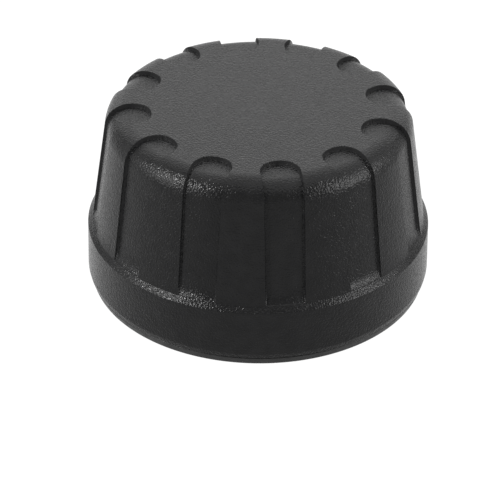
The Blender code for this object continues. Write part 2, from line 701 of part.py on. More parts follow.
def build():
    clear_scene()
    parts = collection("valve_cap_pressure_sensor")
    cutters = collection("cutters")
    cap_axis = empty("cap_screw_axis", parts)
    cell_axis = empty("cell_axis", parts)

    black = material("cap_plastic", (0.022, 0.022, 0.023), 0.55)
    nylon = material("base_plastic", (0.018, 0.018, 0.019), 0.5)
    rubber = material("seal_rubber", (0.02, 0.02, 0.02), 0.8)
    foam = material("pad_foam", (0.05, 0.05, 0.055), 0.95)
    brass = material("insert_brass", (0.72, 0.52, 0.2), 0.3, 1.0)
    silicone = material("gasket_silicone", (0.75, 0.75, 0.72), 0.6)
    board_green = material("board_laminate", (0.02, 0.16, 0.06), 0.4)
    resin = material("chip_resin", (0.015, 0.015, 0.015), 0.4)
    ceramic = material("part_ceramic", (0.45, 0.33, 0.2), 0.5)
    plating = material("contact_nickel", (0.62, 0.6, 0.56), 0.25, 1.0)
    steel = material("cell_steel", (0.6, 0.6, 0.6), 0.25, 1.0)
    insulator = material("cell_insulator", (0.7, 0.7, 0.68), 0.5)
    separator = material("separator_paper", (0.8, 0.8, 0.78), 0.9)
    lithium = material("lithium_metal", (0.7, 0.7, 0.72), 0.4, 1.0)
    cathode = material("cathode_powder", (0.04, 0.04, 0.04), 0.9)

    finish(outer_cap(parts, cutters), black, cap_axis)
    finish(battery_pad(parts), foam, cap_axis)
    finish(cap_o_ring(parts), rubber, cap_axis)
    finish(base_housing(parts, cutters), nylon)
    finish(valve_insert(parts, cutters), brass)
    finish(valve_gasket(parts), silicone)
    finish(core_depressor(parts, cutters), brass)
    finish(port_seal(parts), silicone)
    finish(sensor_chip(parts, cutters), resin)
    finish(circuit_board(parts, cutters), board_green)
    finish(under_board("crystal", CRYSTAL_SIZE, CRYSTAL_TURN, parts), plating)
    finish(under_board("matching_inductor", INDUCTOR_SIZE, INDUCTOR_TURN, parts), ceramic)
    for index, turn in enumerate(CAPACITOR_TURNS):
        finish(under_board(f"capacitor_{index + 1}", CAPACITOR_SIZE, turn, parts), ceramic)
    for index, turn in enumerate(screw_turns()):
        finish(board_screw(f"board_screw_{index + 1}", turn, parts), steel)
    finish(antenna_loop(parts), brass)
    finish(negative_contact(parts), plating)
    finish(positive_clip(parts), plating)
    finish(cell_holder(parts, cutters), nylon)
    finish(cell_can(parts), steel, cell_axis)
    finish(cell_gasket(parts), insulator, cell_axis)
    finish(cell_lid(parts), steel, cell_axis)
    for piece, look in zip(cell_core(parts), (lithium, separator, cathode)):
        finish(piece, look, cell_axis)


build()
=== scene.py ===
"""Looks for the valve-cap tyre pressure sensor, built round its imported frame.

Lengths are metres. The sensor's axis is Z, and it stands on Z = 0 with its valve socket down.
"""
import math

import bmesh
import bpy
import numpy as np
from mathutils import Matrix, Vector


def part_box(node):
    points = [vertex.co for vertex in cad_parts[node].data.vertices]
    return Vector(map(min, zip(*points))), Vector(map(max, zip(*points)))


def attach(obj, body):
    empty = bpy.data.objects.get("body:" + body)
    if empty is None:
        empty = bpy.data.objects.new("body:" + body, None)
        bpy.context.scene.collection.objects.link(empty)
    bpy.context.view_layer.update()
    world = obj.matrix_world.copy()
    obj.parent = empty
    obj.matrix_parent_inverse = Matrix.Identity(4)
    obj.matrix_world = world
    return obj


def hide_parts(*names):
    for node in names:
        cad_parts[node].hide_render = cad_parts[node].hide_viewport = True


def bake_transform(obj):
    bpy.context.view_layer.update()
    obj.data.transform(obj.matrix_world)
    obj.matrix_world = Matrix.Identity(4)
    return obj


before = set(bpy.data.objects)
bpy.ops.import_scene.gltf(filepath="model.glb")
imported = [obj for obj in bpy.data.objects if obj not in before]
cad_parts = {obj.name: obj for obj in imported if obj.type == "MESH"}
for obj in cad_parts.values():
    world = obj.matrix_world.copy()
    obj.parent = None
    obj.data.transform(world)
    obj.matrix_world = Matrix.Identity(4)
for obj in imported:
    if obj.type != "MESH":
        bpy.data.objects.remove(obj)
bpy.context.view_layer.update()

MM = 0.001
TURN = math.tau


def spot(node):
    """A CAD node's box as (radius, foot, top)."""
    low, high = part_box(node)
    return high.x, low.z, high.z


CAP_RADIUS, RIM_Z, CAP_TOP = spot("outer_cap")
_, BASE_Z, NECK_TOP = spot("base_housing")
PAD_RADIUS, PAD_FOOT, PAD_TOP = spot("battery_pad")
INSERT_RADIUS, INSERT_FOOT, INSERT_TOP = spot("valve_insert")
GASKET_RADIUS, GASKET_FOOT, GASKET_TOP = spot("valve_gasket")
PIN_FLANGE_RADIUS, PIN_TIP, PIN_TOP = spot("core_depressor")
CELL_RADIUS, CAN_FOOT, CELL_TOP = spot("cell_can")
_, HOLDER_LEG_FOOT, HOLDER_TOP = spot("cell_holder")
RING_RADIUS, RING_FOOT, RING_TOP = spot("cap_o_ring")
_, SPRING_FOOT, SPRING_TOP = spot("negative_contact")
_, CLIP_FOOT, CLIP_TOP = spot("positive_clip")

# cap
FLANK_FOOT = (CAP_RADIUS - 0.4 * MM, 4.8 * MM)
FLANK_DRAFT = 0.14
SHOULDER_ROUND = 1.75 * MM
SKIRT_TOP = (CAP_RADIUS - 0.06 * MM, 4.42 * MM)
SKIRT_FOOT_Z = 1.0 * MM
RECESSES = 12
RECESS_TURN = math.radians(9.4) - TURN / 4
RECESS_HALF_WIDTH = 1.41 * MM
RECESS_END = 9.15 * MM
RECESS_TOP_DEPTH = 0.28 * MM
RECESS_FLANK_DEPTH = 0.21 * MM
RECESS_TOP_WALL = 0.08 * MM
RECESS_FOOT_RUN = 0.15 * MM
SEAL_BORE = 10.75 * MM
RIM_INNER = SEAL_BORE + 0.2 * MM
CAP_THREAD_WALL = 10.65 * MM
CAP_THREAD_CREST = 10.15 * MM
CAP_BORE = 10.2 * MM
CEILING_RADIUS = 9.5 * MM
CEILING_Z = PAD_TOP + 0.05 * MM

# threads
THREAD_PITCH = 1.5 * MM
THREAD_WIDTHS = (0.8 * MM, 0.4 * MM)  # at the root and at the crest
THREAD_FADE = 0.5                     # radians
ON_WALL = 0.03 * MM                   # how near a wall a point belongs to it
BASE_THREAD_WALL = 9.95 * MM
BASE_THREAD_CREST = 10.5 * MM
BASE_THREAD_Z = 3.0 * MM
BASE_THREAD_TURNS = 1.75
CAP_THREAD_TURNS = 1.5
VALVE_PITCH = 25.4 * MM / 32
VALVE_WALL = 3.9 * MM
VALVE_CREST = 3.5 * MM

# how finely the turned pieces are cut
FINE = 192
ROUND = 96


# ---------------------------------------------------------------- turned shapes
def smooth(value):
    """An even rise from 0 to 1 that starts and ends level."""
    value = np.clip(value, 0, 1)
    return value * value * (3 - 2 * value)


def rounded(corners, arc_steps=6, hold=0.03 * MM):
    """Corners (r, z, radius) as points. A held point beside each arc keeps flat faces flat.

    A small radius gets fewer steps, but at least four.
    """
    radius_per_step = 0.11 * MM
    points = []
    count = len(corners)
    for index, (r, z, radius) in enumerate(corners):
        corner = Vector((r, z))
        if radius == 0:
            points.append(corner)
            continue
        before = (Vector(corners[index - 1][:2]) - corner).normalized()
        after = (Vector(corners[(index + 1) % count][:2]) - corner).normalized()
        half_angle = before.angle(after) / 2
        reach = radius / math.tan(half_angle)
        centre = corner + (before + after).normalized() * (radius / math.sin(half_angle))
        start = corner + before * reach - centre
        end = corner + after * reach - centre
        sweep = start.angle_signed(end)
        steps = min(arc_steps, max(4, math.ceil(radius / radius_per_step)))
        points.append(corner + before * (reach + hold))
        for step in range(steps + 1):
            points.append(centre + Matrix.Rotation(-sweep * step / steps, 2) @ start)
        points.append(corner + after * (reach + hold))
    return points


def divided(points, spacing, closed=False):
    """The outline with no step longer than spacing(r, z)."""
    ends = points + points[:1] if closed else points
    out = []
    for first, second in zip(ends, ends[1:]):
        middle = (first + second) / 2
        steps = max(1, math.ceil((second - first).length / spacing(middle.x, middle.y)))
        out += [first.lerp(second, step / steps) for step in range(steps)]
    return np.array(out if closed else out + [ends[-1]])


def outline_normals(points, closed):
    """Outward unit normals of an outline that runs down its outer side."""
    if closed:
        run = np.roll(points, -1, 0) - np.roll(points, 1, 0)
    else:
        run = np.gradient(points, axis=0)
    run /= np.linalg.norm(run, axis=1)[:, None]
    return np.column_stack([-run[:, 1], run[:, 0]])


def rings_of(points, normals, angles, push):
    """One ring of points for each outline point. push(r, z, angle) moves along the normal."""
    r, z = points[:, :1], points[:, 1:]
    angles = np.broadcast_to(angles, (len(points), angles.shape[-1]))
    shift = push(r, z, angles) if push else 0
    out_r = r + normals[:, :1] * shift
    out_z = z + normals[:, 1:] * shift + 0 * angles
    return np.stack([out_r * np.cos(angles), out_r * np.sin(angles), out_z], axis=-1)


def band_faces(start, rows, columns, closed=False):
    """Quads between neighbouring rings; the first ring's first vertex is number start."""
    last = rows if closed else rows - 1
    row = np.arange(last)[:, None]
    column = np.arange(columns)[None, :]
    below, beside = (row + 1) % rows, (column + 1) % columns
    quads = [row * columns + column, below * columns + column,
             below * columns + beside, row * columns + beside]
    return (start + np.stack(quads, -1).reshape(-1, 4)).tolist()


def add_object(name, data):
    made = bpy.data.objects.new(name, data)
    bpy.context.scene.collection.objects.link(made)
    return made


def mesh_object(name, verts, faces):
    mesh = bpy.data.meshes.new(name)
    mesh.from_pydata(np.asarray(verts).tolist(), [], faces)
    mesh.update()
    return add_object(name, mesh)


def bmesh_object(name, bm):
    mesh = bpy.data.meshes.new(name)
    bm.to_mesh(mesh)
    bm.free()
    return add_object(name, mesh)


def shade(piece, degrees=40):
    """Smooth shading, broken along edges that turn by more than this."""
    piece.data.shade_smooth()
    piece.data.set_sharp_from_angle(angle=math.radians(degrees))
    return piece


def lathe(name, corners, columns=ROUND, spacing=0.6 * MM, push=None, closed=True):
    """A turned piece. An open outline starts and ends on the axis."""
    step = spacing if callable(spacing) else lambda r, z: spacing
    points = divided(rounded(corners), step, closed)
    normals = outline_normals(points, closed)
    angles = np.arange(columns) * TURN / columns
    if closed:
        rings = rings_of(points, normals, angles, push)
        return shade(mesh_object(name, rings.reshape(-1, 3),
                                 band_faces(0, len(points), columns, True)))
    rings = rings_of(points[1:-1], normals[1:-1], angles, push)
    rows = len(points) - 2
    verts = np.vstack([rings.reshape(-1, 3), [[0, 0, points[0][1]], [0, 0, points[-1][1]]]])
    faces = band_faces(0, rows, columns)
    first, last = rows * columns, rows * columns + 1
    edge = (rows - 1) * columns
    for j in range(columns):
        k = (j + 1) % columns
        faces.append([first, j, k])
        faces.append([edge + j, last, edge + k])
    return shade(mesh_object(name, verts, faces))


def ridge(angle, z, start_z, pitch, turns, widths, height, fade):
    """Height of a helical thread ridge that fades out at both ends."""
    phase = (z - start_z) / pitch - angle / TURN
    turn = np.round(phase)
    along = angle + TURN * turn
    off = np.abs(phase - turn) * pitch
    root, crest = widths
    form = smooth((root / 2 - off) / ((root - crest) / 2))
    ends = smooth(along / fade) * smooth((TURN * turns - along) / fade)
    return height * form * ends


def joint_thread(r, z, angle, wall, height, start_z, turns):
    """How far the thread between cap and base stands out from the wall that carries it."""
    stands = ridge(angle % TURN, z, start_z, THREAD_PITCH, turns, THREAD_WIDTHS, height,
                   THREAD_FADE)
    return np.where(np.abs(r - wall) < ON_WALL, stands, 0)


def boolean(piece, tool, operation="DIFFERENCE"):
    """Cut or join with a tool that is then removed, and keep the result in the mesh."""
    step = piece.modifiers.new("boolean", "BOOLEAN")
    step.object = tool
    step.operation = operation
    bake(piece)
    bpy.data.objects.remove(tool, do_unlink=True)
    return piece


def bake(piece):
    """Turn the piece's modifiers into mesh."""
    graph = bpy.context.evaluated_depsgraph_get()
    mesh = bpy.data.meshes.new_from_object(piece.evaluated_get(graph))
    piece.modifiers.clear()
    piece.data = mesh
    return piece


def boxes(name, places, size):
    """Boxes of one size, one for each placing matrix, as one tool."""
    bm = bmesh.new()
    for place in places:
        bmesh.ops.create_cube(bm, size=1.0, matrix=place @ Matrix.Diagonal((*size, 1.0)))
    return bmesh_object(name, bm)


def pegs(name, places, radius, height):
    """Round pegs of one size, one for each placing matrix, as one tool."""
    bm = bmesh.new()
    for place in places:
        bmesh.ops.create_cone(bm, cap_ends=True, segments=24, radius1=radius, radius2=radius,
                              depth=height, matrix=place)
    return bmesh_object(name, bm)


def round_axis(turns, radius, z):
    """Places at one radius and height, each turned about the sensor's axis."""
    return [Matrix.Rotation(turn, 4, "Z") @ Matrix.Translation((radius, 0, z)) for turn in turns]


# ---------------------------------------------------------------- the cap
COLUMN_STEP = RECESS_HALF_WIDTH / 36  # so that columns run along both edges of a recess
RECESS_FLANK_WALL = 1.5 * COLUMN_STEP
CLOSE_STEPS = (27, 40)                # where the close columns start and end, each side
WIDE_COLUMNS = 7                      # columns from a recess's middle to the close ones
LAND_COLUMNS = 11                     # columns between two recesses
INNER_SHARE = 4                       # outer columns for each inner one


def flank_radius(z):
    """Radius of the cap's sloping side at a height."""
    return FLANK_FOOT[0] - FLANK_DRAFT * (z - FLANK_FOOT[1])


def cap_angles(radii):
    """Column angles at each radius. The close columns stay parallel to their recess."""
    radii = np.maximum(radii, RECESS_END - RECESS_HALF_WIDTH - 0.4 * MM)[:, None]
    start, end = CLOSE_STEPS
    wide = np.linspace(0, start, WIDE_COLUMNS, endpoint=False)
    half = np.concatenate([wide, np.arange(start, end + 1)]) * COLUMN_STEP
    across = np.concatenate([-half[:0:-1], half])[None, :]
    close = np.arcsin(across / radii)
    edge = close[:, -1:]
    share = np.arange(1, LAND_COLUMNS + 1)[None, :] / (LAND_COLUMNS + 1)
    land = edge + share * (TURN / RECESSES - 2 * edge)
    sector = np.concatenate([close, land], axis=1)
    starts = RECESS_TURN + np.arange(RECESSES) * TURN / RECESSES
    return np.concatenate([sector + start for start in starts], axis=1)


def recess_push(r, z, angle):
    """How far the surface is pushed in by the twelve recesses."""
    sector = TURN / RECESSES
    off = (angle - RECESS_TURN + sector / 2) % sector - sector / 2
    across = r * np.sin(off)
    along = r * np.cos(off) - RECESS_END
    side = np.where(along > 0, np.abs(across), np.hypot(along, across)) - RECESS_HALF_WIDTH
    rise = smooth((z - FLANK_FOOT[1]) / RECESS_FOOT_RUN)
    on_top = smooth((z - CAP_TOP + SHOULDER_ROUND) / SHOULDER_ROUND)
    depth = RECESS_FLANK_DEPTH + (RECESS_TOP_DEPTH - RECESS_FLANK_DEPTH) * on_top
    wall = RECESS_FLANK_WALL + (RECESS_TOP_WALL - RECESS_FLANK_WALL) * on_top
    return -depth * np.minimum(smooth(-side / wall), rise)


def cap_inner_push(r, z, angle):
    return joint_thread(r, z, angle, CAP_THREAD_WALL, CAP_THREAD_WALL - CAP_THREAD_CREST,
                        BASE_THREAD_Z + THREAD_PITCH / 2, CAP_THREAD_TURNS)


def cap_outside():
    """The cap's outer outline, from the middle of its top down to its rim."""
    plain_radius = RECESS_END - 1.7 * MM  # the recesses lie outside this circle
    corners = [(0, CAP_TOP, 0), (plain_radius, CAP_TOP, 0),
               (flank_radius(CAP_TOP), CAP_TOP, SHOULDER_ROUND),
               (*FLANK_FOOT, 0.1 * MM), (*SKIRT_TOP, 0.08 * MM),
               (CAP_RADIUS, SKIRT_FOOT_Z, 0.3 * MM),
               (CAP_RADIUS - 0.08 * MM, RIM_Z, 0.06 * MM), (RIM_INNER + 0.3 * MM, RIM_Z, 0)]

    def step(r, z):
        if z > CAP_TOP - 0.01 * MM:
            return 0.043 * MM if r > plain_radius else 2.4 * MM
        if z > CAP_TOP - 1.5 * MM:
            return 0.16 * MM
        if abs(z - FLANK_FOOT[1]) < 0.5 * MM:
            return 0.05 * MM
        return 0.7 * MM

    return divided(rounded(corners, arc_steps=16), step)


def cap_inside():
    """The cap's inner outline, from its rim up to the middle of its ceiling."""
    thread_foot = 2.95 * MM
    thread_top = 6.2 * MM
    corners = [(RIM_INNER, RIM_Z, 0), (SEAL_BORE, RIM_Z + 0.2 * MM, 0),
               (SEAL_BORE, thread_foot - 0.2 * MM, 0), (CAP_THREAD_WALL, thread_foot, 0),
               (CAP_THREAD_WALL, thread_top, 0), (CAP_BORE, thread_top + 0.4 * MM, 0.1 * MM),
               (CAP_BORE - 0.15 * MM, 10 * MM, 0.5 * MM),
               (CEILING_RADIUS, CEILING_Z, 0.8 * MM), (0, CEILING_Z, 0)]

    def step(r, z):
        return 0.045 * MM if thread_foot < z < thread_top else 0.8 * MM

    return divided(rounded(corners), step)


def cap_shell():
    """The whole cap as one closed skin: fine outside, coarser inside, joined on the rim."""
    outer, inner = cap_outside(), cap_inside()
    outer_angles = cap_angles(outer[1:, 0])
    inner_angles = cap_angles(np.full(1, RIM_INNER))[:, ::INNER_SHARE]
    outer_rings = rings_of(outer[1:], outline_normals(outer, False)[1:], outer_angles,
                           recess_push)
    inner_rings = rings_of(inner[:-1], outline_normals(inner, False)[:-1], inner_angles,
                           cap_inner_push)
    columns, few = outer_angles.shape[1], inner_angles.shape[1]
    rows, inner_rows = len(outer) - 1, len(inner) - 1
    start = rows * columns
    tips = start + inner_rows * few
    verts = np.vstack([outer_rings.reshape(-1, 3), inner_rings.reshape(-1, 3),
                       [[0, 0, CAP_TOP], [0, 0, CEILING_Z]]])
    faces = band_faces(0, rows, columns) + band_faces(start, inner_rows, few)
    faces += [[tips, j, (j + 1) % columns] for j in range(columns)]
    last_outer, last_inner = (rows - 1) * columns, start + (inner_rows - 1) * few
    faces += [[last_inner + j, tips + 1, last_inner + (j + 1) % few] for j in range(few)]
    for j in range(few):
        beside = (j + 1) % few
        across = [last_outer + (INNER_SHARE * j + k) % columns for k in range(INNER_SHARE, -1, -1)]
        faces.append([start + j, start + beside, *across])
    return shade(mesh_object("cap_shell", verts, faces), 50)


def pad():
    return lathe("foam_pad", [(0, PAD_TOP, 0), (PAD_RADIUS, PAD_TOP, 0.05 * MM),
                              (PAD_RADIUS, PAD_FOOT, 0.15 * MM), (0, PAD_FOOT, 0)], closed=False)


def seal_ring():
    middle = (RING_FOOT + RING_TOP) / 2
    section = (RING_TOP - RING_FOOT) / 2
    steps = 24
    outline = []
    for step in range(steps):
        turn = -TURN * step / steps
        outline.append((RING_RADIUS - section + section * math.cos(turn),
                        middle + section * math.sin(turn), 0))
    return lathe("weather_seal", outline, FINE)


# ---------------------------------------------------------------- the base
FLANGE_TOP = RIM_Z - 0.07 * MM
SOCKET_RADIUS = 4.8 * MM
SOCKET_TOP = 4.4 * MM
LEDGE_Z = 7.2 * MM
SCREW_RADIUS = 7.1 * MM
SCREW_TURNS = [TURN / 6 + index * TURN / 3 for index in range(3)]
QUARTERS = [index * TURN / 4 for index in range(4)]


def base_push(r, z, angle):
    return joint_thread(r, z, angle, BASE_THREAD_WALL, BASE_THREAD_CREST - BASE_THREAD_WALL,
                        BASE_THREAD_Z, BASE_THREAD_TURNS)


def base_corners():
    """The base's outline, down the outside, in through the socket and up the inside."""
    small = 0.08 * MM
    neck, neck_bore = 9.75 * MM, 9.15 * MM
    collar, groove = 10.4 * MM, 9.6 * MM
    groove_foot, groove_top = 0.95 * MM, 2.15 * MM
    flange = CAP_RADIUS - 0.12 * MM
    gasket_seat = 3.85 * MM
    port, port_foot, port_top = 0.6 * MM, 5.55 * MM, 5.95 * MM
    chip_bay = 4.9 * MM
    well_inner, well_outer, well_foot = 5.9 * MM, 8.3 * MM, 1.3 * MM
    outside = [(neck, NECK_TOP, small), (neck, LEDGE_Z, 0.3 * MM),
               (BASE_THREAD_WALL, 7.0 * MM, 0.3 * MM), (BASE_THREAD_WALL, 2.5 * MM, small),
               (collar, 2.4 * MM, small), (collar, groove_top, small),
               (groove, groove_top, 0), (groove, groove_foot, 0), (collar, groove_foot, small),
               (collar, FLANGE_TOP, 0), (flange, FLANGE_TOP, 0.06 * MM),
               (flange - 0.18 * MM, BASE_Z, 0.12 * MM)]
    socket = [(SOCKET_RADIUS + 0.15 * MM, BASE_Z, small), (SOCKET_RADIUS, 0.2 * MM, 0),
              (SOCKET_RADIUS, SOCKET_TOP, 0), (gasket_seat, SOCKET_TOP, 0),
              (gasket_seat, port_foot, 0), (port, port_foot, 0), (port, port_top, 0)]
    inside = [(chip_bay, port_top, 0), (chip_bay, LEDGE_Z, 0),
              (well_inner, LEDGE_Z, 0), (well_inner, well_foot, 0),
              (well_outer, well_foot, 0), (well_outer, LEDGE_Z, 0),
              (neck_bore, LEDGE_Z, 0), (neck_bore, NECK_TOP, small)]
    return outside + socket + inside


def key_slots():
    """The tool for the four slots under the base that a key turns it by."""
    slot_size = (2.2 * MM, 2.4 * MM, 1.2 * MM)
    tool = boxes("slots", round_axis(QUARTERS, 7.6 * MM, 0), slot_size)
    bevel = tool.modifiers.new("round", "BEVEL")
    bevel.width = 0.3 * MM
    bevel.segments = 4
    return bake(tool)


def base_shell():
    """The base with its thread, its screw pillars and its key slots."""
    def step(r, z):
        threaded = r > BASE_THREAD_WALL - ON_WALL and 2.6 * MM < z < 6.2 * MM
        return 0.035 * MM if threaded else 0.8 * MM

    shell = lathe("base_shell", base_corners(), FINE, step, base_push)
    pillar_radius, pillar_height, pillar_middle = 1.35 * MM, 5.9 * MM, 4.2 * MM
    hole_radius, hole_height, hole_lift = 0.55 * MM, 4.6 * MM, 2.0 * MM
    pillars = [Matrix.Translation((SCREW_RADIUS * math.cos(turn), SCREW_RADIUS * math.sin(turn),
                                   pillar_middle)) for turn in SCREW_TURNS]
    holes = [place @ Matrix.Translation((0, 0, hole_lift)) for place in pillars]
    boolean(shell, pegs("pillars", pillars, pillar_radius, pillar_height), "UNION")
    boolean(shell, pegs("pilot_holes", holes, hole_radius, hole_height))
    return shade(boolean(shell, key_slots()))


def insert_push(r, z, angle):
    """Knurled bands outside, and the valve's thread inside."""
    teeth = 60
    knurl_depth = 0.09 * MM
    knurl = knurl_depth * (np.abs((angle * teeth / TURN) % 1 - 0.5) * 2 - 1)
    turns = (INSERT_TOP - INSERT_FOOT) / VALVE_PITCH - 1.4
    widths = (0.72 * VALVE_PITCH, 0.15 * VALVE_PITCH)
    thread = ridge(angle % TURN, z, INSERT_FOOT + 0.75 * VALVE_PITCH, VALVE_PITCH, turns,
                   widths, VALVE_WALL - VALVE_CREST, 0.6)
    outside = np.where(r > INSERT_RADIUS - ON_WALL, knurl, 0)
    return np.where(np.abs(r - VALVE_WALL) < ON_WALL, thread, outside)


def brass_insert():
    waist = INSERT_RADIUS - 0.3 * MM
    high = INSERT_FOOT + 0.58 * (INSERT_TOP - INSERT_FOOT)
    low = INSERT_FOOT + 0.42 * (INSERT_TOP - INSERT_FOOT)
    collar = INSERT_RADIUS - 0.1 * MM
    corners = [(INSERT_RADIUS, INSERT_TOP, 0), (INSERT_RADIUS, high, 0), (waist, high, 0),
               (waist, low, 0), (INSERT_RADIUS, low, 0), (INSERT_RADIUS, 0.5 * MM, 0),
               (collar, 0.4 * MM, 0), (collar, INSERT_FOOT, 0.05 * MM),
               (VALVE_WALL + 0.25 * MM, INSERT_FOOT, 0.04 * MM),
               (VALVE_WALL, INSERT_FOOT + 0.25 * MM, 0), (VALVE_WALL, INSERT_TOP, 0)]

    def step(r, z):
        return 0.05 * MM if r < VALVE_WALL + 0.1 * MM else 0.5 * MM

    return lathe("brass_insert", corners, 240, step, insert_push)


def rubber_gasket():
    edge = 0.1 * MM
    hole = 1.7 * MM
    return lathe("rim_gasket", [(GASKET_RADIUS, GASKET_TOP, edge),
                                (GASKET_RADIUS, GASKET_FOOT, edge),
                                (hole, GASKET_FOOT, edge), (hole, GASKET_TOP, edge)])


def valve_pin():
    """The pin that pushes the valve core, with a domed tip and four air holes."""
    foot = PIN_TOP - 0.3 * MM
    stem = 0.75 * MM
    edge = 0.05 * MM
    pin = lathe("valve_pin", [(0, PIN_TOP, 0), (PIN_FLANGE_RADIUS, PIN_TOP, edge),
                              (PIN_FLANGE_RADIUS, foot, edge), (stem, foot, edge),
                              (stem, PIN_TIP, 0.35 * MM), (0, PIN_TIP, 0)], closed=False)
    places = round_axis(QUARTERS, 1.25 * MM, foot)
    boolean(pin, pegs("air_holes", places, 0.35 * MM, 2 * MM))
    return shade(pin)


# ---------------------------------------------------------------- the cell and its contacts
def can():
    """The cell's can, with the plus sign pressed into its top."""
    wall = 0.22 * MM
    lip = CELL_RADIUS - 0.75 * MM
    inner = CELL_RADIUS - wall
    corners = [(0, CELL_TOP, 0), (CELL_RADIUS, CELL_TOP, 0.45 * MM),
               (CELL_RADIUS, CAN_FOOT, 0.5 * MM), (lip, CAN_FOOT, 0.05 * MM),
               (lip, CAN_FOOT + wall, 0.05 * MM), (inner, CAN_FOOT + wall, 0.25 * MM),
               (inner, CELL_TOP - wall, 0.25 * MM), (0, CELL_TOP - wall, 0)]
    made = lathe("steel_can", corners, FINE, 0.8 * MM, closed=False)
    bars = round_axis(QUARTERS[:2], 0, CELL_TOP)
    bar_size = (3.0 * MM, 0.5 * MM, 0.06 * MM)
    plus = boxes("plus", bars[:1], bar_size)
    boolean(plus, boxes("plus_bar", bars[1:], bar_size), "UNION")
    return shade(boolean(made, plus))


def holder():
    """The ring that centres the cell, open where the side contact stands."""
    bore = 8.12 * MM
    outer = 9.05 * MM
    collar = 9.75 * MM
    seat = NECK_TOP + 0.05 * MM
    collar_top = seat + 0.5 * MM
    foot = 8.9 * MM
    edge = 0.06 * MM
    corners = [(outer - 0.1 * MM, HOLDER_TOP, edge), (outer - 0.1 * MM, collar_top, 0),
               (collar, collar_top, edge), (collar, seat, edge), (outer, seat, 0),
               (outer, foot, edge), (bore, foot, edge), (bore, HOLDER_TOP - 0.3 * MM, 0),
               (bore + 0.25 * MM, HOLDER_TOP, edge)]
    ring = lathe("cell_ring", corners, FINE)
    high = foot + 0.2 * MM
    low = HOLDER_LEG_FOOT
    leg_turns = [TURN / 4 + index * TURN / 3 for index in range(3)]
    legs = round_axis(leg_turns, bore + 0.11 * MM, (low + high) / 2)
    boolean(ring, boxes("legs", legs, (0.14 * MM, 1.2 * MM, high - low)), "UNION")
    slot = round_axis([0], CELL_RADIUS + 0.5 * MM, 12.1 * MM)
    boolean(ring, boxes("slot", slot, (4 * MM, 3.6 * MM, 8 * MM)))
    return shade(ring)


def bent_strip(name, corners, width, thick):
    """Sheet metal bent along a path in the XZ plane, with rounded edges."""
    path = rounded(corners, arc_steps=5, hold=0.01 * MM)
    bm = bmesh.new()
    verts = [bm.verts.new((point.x, -width / 2, point.y)) for point in path]
    edges = [bm.edges.new(pair) for pair in zip(verts, verts[1:])]
    moved = bmesh.ops.extrude_edge_only(bm, edges=edges)["geom"]
    bmesh.ops.translate(bm, vec=(0, width, 0),
                        verts=[item for item in moved if isinstance(item, bmesh.types.BMVert)])
    strip = bmesh_object(name, bm)
    sheet = strip.modifiers.new("sheet", "SOLIDIFY")
    sheet.thickness = thick
    sheet.offset = 0
    sheet.use_even_offset = True
    edge = strip.modifiers.new("edge", "BEVEL")
    edge.width = thick / 5
    edge.segments = 2
    return shade(bake(strip))


def leaf_spring():
    """The bowed leaf under the cell, the same to both sides of its middle."""
    thick = 0.14 * MM
    foot = SPRING_FOOT + thick / 2
    crest = SPRING_TOP - thick / 2
    half = [(1.3 * MM, foot, 1.5 * MM), (3.1 * MM, crest - 0.05 * MM, 0.8 * MM),
            (3.8 * MM, crest, 0.4 * MM), (4.2 * MM, crest - 0.12 * MM, 0)]
    mirrored = [(-x, z, radius) for x, z, radius in reversed(half)]
    return bent_strip("leaf_spring", mirrored + half, 2.4 * MM, thick)


def side_clip():
    """The springy upright that leans on the cell's side, with its tip bent away."""
    thick = 0.2 * MM
    foot = CLIP_FOOT + thick / 2
    near = CELL_RADIUS + 0.15 * MM
    upright = near + 0.15 * MM
    corners = [(near + 0.6 * MM, foot, 0), (upright, foot, 0.2 * MM),
               (upright, 9.6 * MM, 1.0 * MM), (near, 10.4 * MM, 1.0 * MM),
               (near, 11.2 * MM, 0.5 * MM), (near + 0.26 * MM, CLIP_TOP - 0.05 * MM, 0)]
    return bent_strip("side_clip", corners, 3.0 * MM, thick)


